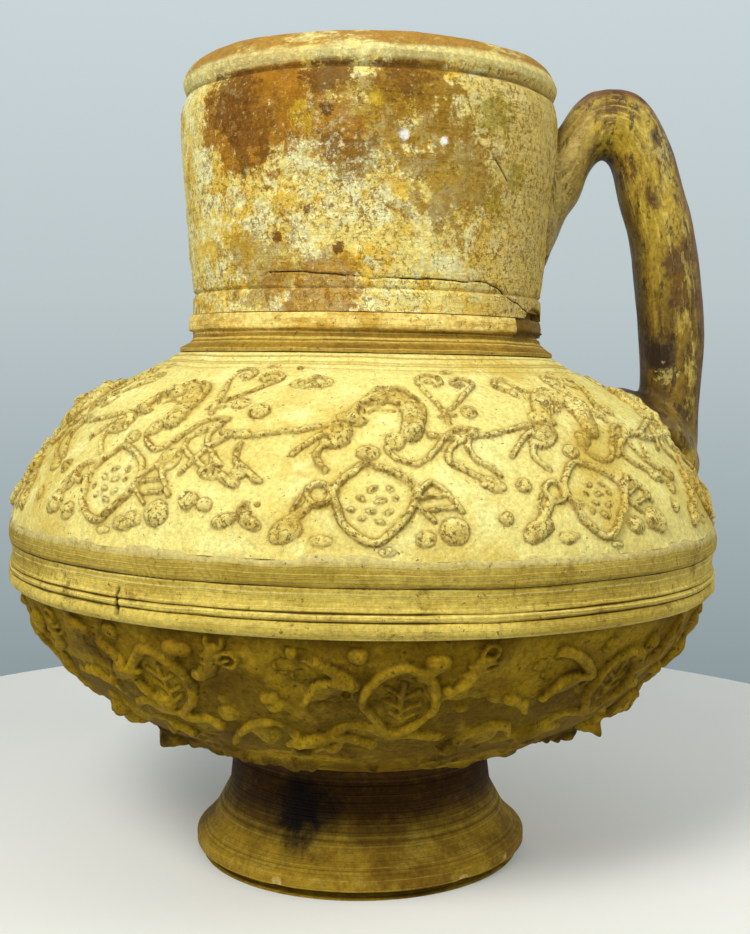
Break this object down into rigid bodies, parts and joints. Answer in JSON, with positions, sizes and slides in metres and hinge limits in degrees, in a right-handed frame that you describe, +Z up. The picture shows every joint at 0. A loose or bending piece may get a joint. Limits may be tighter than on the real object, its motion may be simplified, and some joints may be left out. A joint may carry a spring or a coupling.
{
  "type": "pottery ewer",
  "caption": "Unglazed pottery ewer: wide thrown neck, moulded round belly banded over its seam, hollow flared foot and a looped rod handle from neck to shoulder",
  "frame": {"origin": "on the table under the middle of the foot, which is also the middle of the footprint to within 2 mm, because the body leans a little towards the handle", "axes": "+Z up out of the mouth, +X towards the handle, -Y towards the side that the picture shows"},
  "size_m": [0.2411, 0.241, 0.2699],
  "materials": {
    "foot_clay": "matte",
    "lower_clay": "matte",
    "upper_clay": "matte",
    "band_clay": "matte",
    "inner_clay": "matte",
    "neck_clay": "matte",
    "collar_clay": "matte",
    "handle_clay": "matte"
  },
  "bodies": {
    "root": {"foot_ring": "foot_clay", "lower_body": "lower_clay", "upper_body": "upper_clay", "girth_band": "band_clay", "inner_seam_coil": "inner_clay", "neck": "neck_clay", "neck_collar": "collar_clay", "handle": "handle_clay", "handle_upper_pad": "handle_clay", "handle_lower_pad": "handle_clay"}
  },
  "joints": []
}
